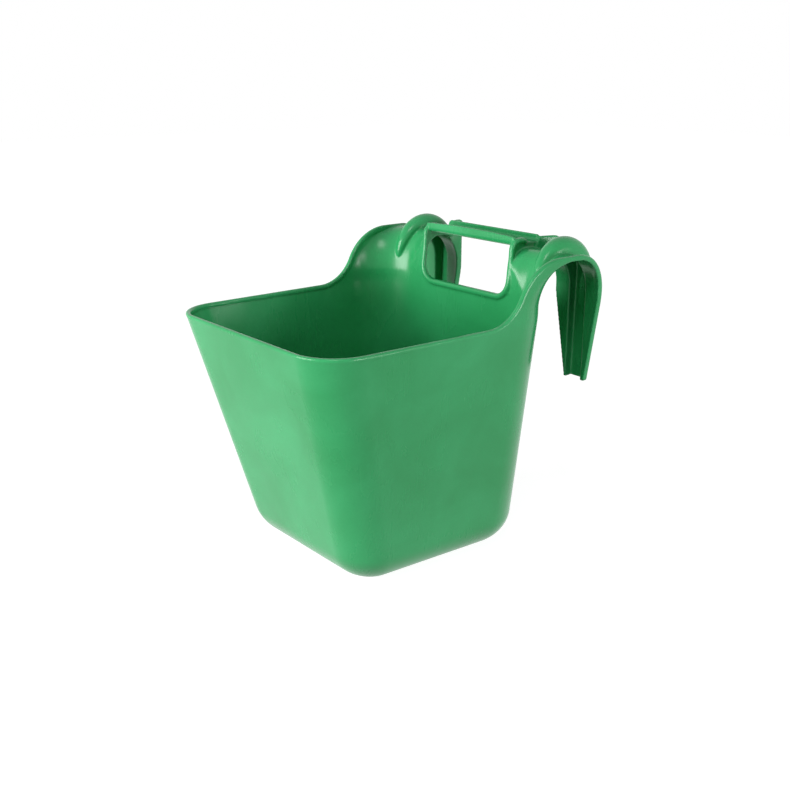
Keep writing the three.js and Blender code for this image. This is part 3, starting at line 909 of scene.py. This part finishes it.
def upper_members():
    """The pieces of the upper moulding by the name of their CAD member."""
    upper = upper_moulding()
    shading = shading_of(upper.data)
    step = upper.modifiers.new("lighten", "DECIMATE")
    step.ratio = LIGHTEN
    apply(upper)

    def take(name, **limits):
        return part_of(upper.data, name + "_moulding", half_spaces(limits), shading)

    def shoulder(name, **limits):
        return take(name, front=SWEEP_FRONT, back=ARCH_Y, above=SEAM, **limits)

    result = {
        "rim": take("rim", back=SWEEP_FRONT, above=SEAM),
        "shoulder_left": shoulder("shoulder_left", right=-PANEL_HALF),
        "shoulder_right": shoulder("shoulder_right", left=PANEL_HALF),
        "hook_left": take("hook_left", front=ARCH_Y, right=-GRIP_HALF),
        "hook_right": take("hook_right", front=ARCH_Y, left=GRIP_HALF),
        "grip": take("grip", left=-GRIP_HALF, right=GRIP_HALF, above=PANEL_TOP),
    }
    middle = dict(left=-GRIP_HALF, right=GRIP_HALF, front=SWEEP_FRONT, above=SEAM, below=PANEL_TOP)
    panel = [
        take("back_panel", **middle),
        shoulder("back_panel", left=-PANEL_HALF, right=-GRIP_HALF),
        shoulder("back_panel", left=GRIP_HALF, right=PANEL_HALF),
    ]
    result["back_panel"] = weld(panel)
    discard(upper)
    return result


def basin_member():
    tub = to_object("basin_moulding", basin())
    tub.data.polygons.foreach_set("use_smooth", [True] * len(tub.data.polygons))
    tub.data.set_sharp_from_angle(angle=SHARP_ANGLE)
    return tub


class Nodes:
    """A short way to make and link shader nodes."""

    def __init__(self, name):
        self.material = bpy.data.materials.new(name)
        self.material.use_nodes = True
        self.tree = self.material.node_tree
        self.shader = self.tree.nodes["Principled BSDF"]

    def add(self, kind, **values):
        node = self.tree.nodes.new(kind)
        for key, value in values.items():
            setattr(node, key, value)
        return node

    def link(self, a, b):
        self.tree.links.new(a, b)

    def noise(self, where, scale, detail=2.0, rough=0.5, distortion=0.0):
        node = self.add("ShaderNodeTexNoise")
        node.inputs["Scale"].default_value = scale
        node.inputs["Detail"].default_value = detail
        node.inputs["Roughness"].default_value = rough
        node.inputs["Distortion"].default_value = distortion
        self.link(where, node.inputs["Vector"])
        return node.outputs["Fac"]

    def ramp(self, value, low, high, out_low=0.0, out_high=1.0):
        """Carries the range from low to high over to the one from out_low to out_high."""
        node = self.add("ShaderNodeMapRange")
        node.inputs["From Min"].default_value = low
        node.inputs["From Max"].default_value = high
        node.inputs["To Min"].default_value = out_low
        node.inputs["To Max"].default_value = out_high
        self.link(value, node.inputs["Value"])
        return node.outputs["Result"]

    def math(self, operation, a, b):
        node = self.add("ShaderNodeMath", operation=operation)
        for socket, value in zip(node.inputs, (a, b)):
            if isinstance(value, (int, float)):
                socket.default_value = value
            else:
                self.link(value, socket)
        return node.outputs[0]

    def mix(self, share, a, b):
        node = self.add("ShaderNodeMix", data_type="RGBA")
        for socket, value in ((node.inputs[6], a), (node.inputs[7], b)):
            if isinstance(value, tuple):
                socket.default_value = (*value, 1)
            else:
                self.link(value, socket)
        self.link(share, node.inputs[0])
        return node.outputs[2]


DEEP_GREEN = (0.023, 0.322, 0.098)
BRIGHT_GREEN = (0.037, 0.398, 0.137)
FLECK_GREEN = (0.016, 0.240, 0.070)
FLECK_SHARE = 0.12
SMEAR_GLOSS = (0.21, 0.27)
WIPE_GLOSS = 0.035
WIPE_STRETCH = (1.0, 1.0, 0.16)
PLASTIC_IOR = 1.49
PLASTIC_SPECULAR = 0.34
WAVE_HEIGHT = 0.6
GRAIN_HEIGHT = 0.02
BUMP_STRENGTH = 0.25
BUMP_DISTANCE = 0.0009


def plastic():
    """Glossy green polypropylene: a faint cloudiness in the colour, the slow waves and fine grain of a mould,
    and thin wiped marks in the gloss."""
    n = Nodes("green_plastic")
    place = n.add("ShaderNodeTexCoord").outputs["Object"]
    cloud = n.noise(place, scale=11.0, detail=3.0, rough=0.55, distortion=0.4)
    base = n.mix(n.ramp(cloud, 0.32, 0.68), DEEP_GREEN, BRIGHT_GREEN)
    fleck = n.noise(place, scale=420.0, rough=0.6)
    colour = n.mix(n.ramp(fleck, 0.35, 0.75, 0.0, FLECK_SHARE), base, FLECK_GREEN)
    n.link(colour, n.shader.inputs["Base Color"])
    stretch = n.add("ShaderNodeMapping")
    stretch.inputs["Scale"].default_value = WIPE_STRETCH
    n.link(place, stretch.inputs["Vector"])
    wipes = n.noise(stretch.outputs["Vector"], scale=60.0, detail=4.0, rough=0.65, distortion=0.8)
    smear = n.noise(place, scale=14.0)
    wiped = n.ramp(wipes, 0.35, 0.7, 0.0, WIPE_GLOSS)
    rough = n.math("ADD", wiped, n.ramp(smear, 0.35, 0.65, *SMEAR_GLOSS))
    n.link(rough, n.shader.inputs["Roughness"])
    n.shader.inputs["IOR"].default_value = PLASTIC_IOR
    n.shader.inputs["Specular IOR Level"].default_value = PLASTIC_SPECULAR
    waves = n.math("MULTIPLY", n.noise(place, scale=26.0), WAVE_HEIGHT)
    grain = n.math("MULTIPLY", n.noise(place, scale=900.0), GRAIN_HEIGHT)
    bump = n.add("ShaderNodeBump")
    bump.inputs["Strength"].default_value = BUMP_STRENGTH
    bump.inputs["Distance"].default_value = BUMP_DISTANCE
    n.link(n.math("ADD", waves, grain), bump.inputs["Height"])
    n.link(bump.outputs["Normal"], n.shader.inputs["Normal"])
    return n.material


pieces = upper_members()
pieces["basin"] = basin_member()
green = plastic()
for name, piece in pieces.items():
    piece.data.materials.clear()
    piece.data.materials.append(green)
    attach(piece, "root")
    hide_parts(name)
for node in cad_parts.values():
    node.data.materials.clear()
    node.data.materials.append(green)


def seen_ray(tree):
    """1 for rays from the camera, in gloss and through glass, 0 for the rays that light the object."""
    path = tree.nodes.new("ShaderNodeLightPath")
    total = path.outputs["Is Camera Ray"]
    for name in ("Is Glossy Ray", "Is Transmission Ray"):
        add = tree.nodes.new("ShaderNodeMath")
        add.operation = "MAXIMUM"
        tree.links.new(total, add.inputs[0])
        tree.links.new(path.outputs[name], add.inputs[1])
        total = add.outputs[0]
    return total


# Floor sizes are in metres. It is white from the second distance of the fade outwards.
FLOOR_COLOUR = 0.30
FLOOR_NEAR = 0.94
FLOOR_FADE = (0.55, 2.2)
FLOOR_HALF = 6.0


def floor_white():
    """A matt pale floor, seen white: it keeps the object's shadow, and turns evenly white further out."""
    n = Nodes("floor_white")
    n.shader.inputs["Base Color"].default_value = (FLOOR_COLOUR, FLOOR_COLOUR, FLOOR_COLOUR, 1)
    n.shader.inputs["Roughness"].default_value = 1.0
    n.shader.inputs["Specular IOR Level"].default_value = 0.0
    n.shader.inputs["Emission Color"].default_value = (1, 1, 1, 1)
    distance = n.add("ShaderNodeVectorMath", operation="LENGTH")
    n.link(n.add("ShaderNodeTexCoord").outputs["Object"], distance.inputs[0])
    white = n.ramp(distance.outputs["Value"], *FLOOR_FADE, FLOOR_NEAR, 1.0)
    n.link(n.math("MULTIPLY", white, seen_ray(n.tree)), n.shader.inputs["Emission Strength"])
    return n.material


def lay_floor():
    corners = [(x * FLOOR_HALF, y * FLOOR_HALF, 0) for x, y in ((-1, -1), (1, -1), (1, 1), (-1, 1))]
    data = bpy.data.meshes.new("floor")
    data.from_pydata(corners, [], [(0, 1, 2, 3)])
    data.materials.append(floor_white())
    floor = bpy.data.objects.new("floor", data)
    bpy.context.scene.collection.objects.link(floor)


lay_floor()

# The camera's place is in millimetres, its focal length and the image's width are in pixels, and its sensor
# is in millimetres.
CAMERA = (792.1, -728.4, 472.7)
LOOK = (-0.7417, 0.5985, -0.3029)
FOCAL = 1042.2
IMAGE_WIDTH = 790
SENSOR = 36


def place_camera():
    data = bpy.data.cameras.new("camera")
    camera = bpy.data.objects.new("camera", data)
    bpy.context.scene.collection.objects.link(camera)
    data.sensor_width = SENSOR
    data.lens = FOCAL / IMAGE_WIDTH * SENSOR
    camera.location = (CAMERA[0] / 1000, (CAMERA[1] + SHIFT) / 1000, CAMERA[2] / 1000)
    camera.rotation_euler = Vector(LOOK).to_track_quat("-Z", "Y").to_euler()
    bpy.context.scene.camera = camera


place_camera()

LAMP_AIM = (0, 0, 0.15)


def lamp(name, way, distance, size, power):
    """A soft box that stands in the given direction from the middle of the object, and faces it. Lengths are
    in metres."""
    aim = Vector(LAMP_AIM)
    data = bpy.data.lights.new(name, "AREA")
    data.shape = "RECTANGLE"
    data.size, data.size_y = size
    data.energy = power
    one = bpy.data.objects.new(name, data)
    bpy.context.scene.collection.objects.link(one)
    one.location = aim + Vector(way).normalized() * distance
    one.rotation_euler = (aim - one.location).to_track_quat("-Z", "Y").to_euler()


lamp("front_box", (-0.25, -0.95, 0.15), 2.3, (1.5, 1.1), 69)
lamp("side_box", (0.95, 0.25, 0.05), 2.1, (1.0, 0.9), 33)
lamp("mouth_box", (0.5, -0.5, 1.0), 2.0, (0.6, 0.6), 9.5)

AMBIENT = 0.06


def white_world():
    """A world seen white, which lights the object by no more than the ambient strength."""
    world = bpy.data.worlds.new("world")
    bpy.context.scene.world = world
    world.use_nodes = True
    tree = world.node_tree
    back = tree.nodes["Background"]
    back.inputs["Color"].default_value = (1, 1, 1, 1)
    strength = tree.nodes.new("ShaderNodeMapRange")
    strength.inputs["To Min"].default_value = AMBIENT
    strength.inputs["To Max"].default_value = 1.0
    tree.links.new(seen_ray(tree), strength.inputs["Value"])
    tree.links.new(strength.outputs["Result"], back.inputs["Strength"])


white_world()
bpy.context.scene.view_settings.view_transform = "Standard"

bpy.context.view_layer.update()
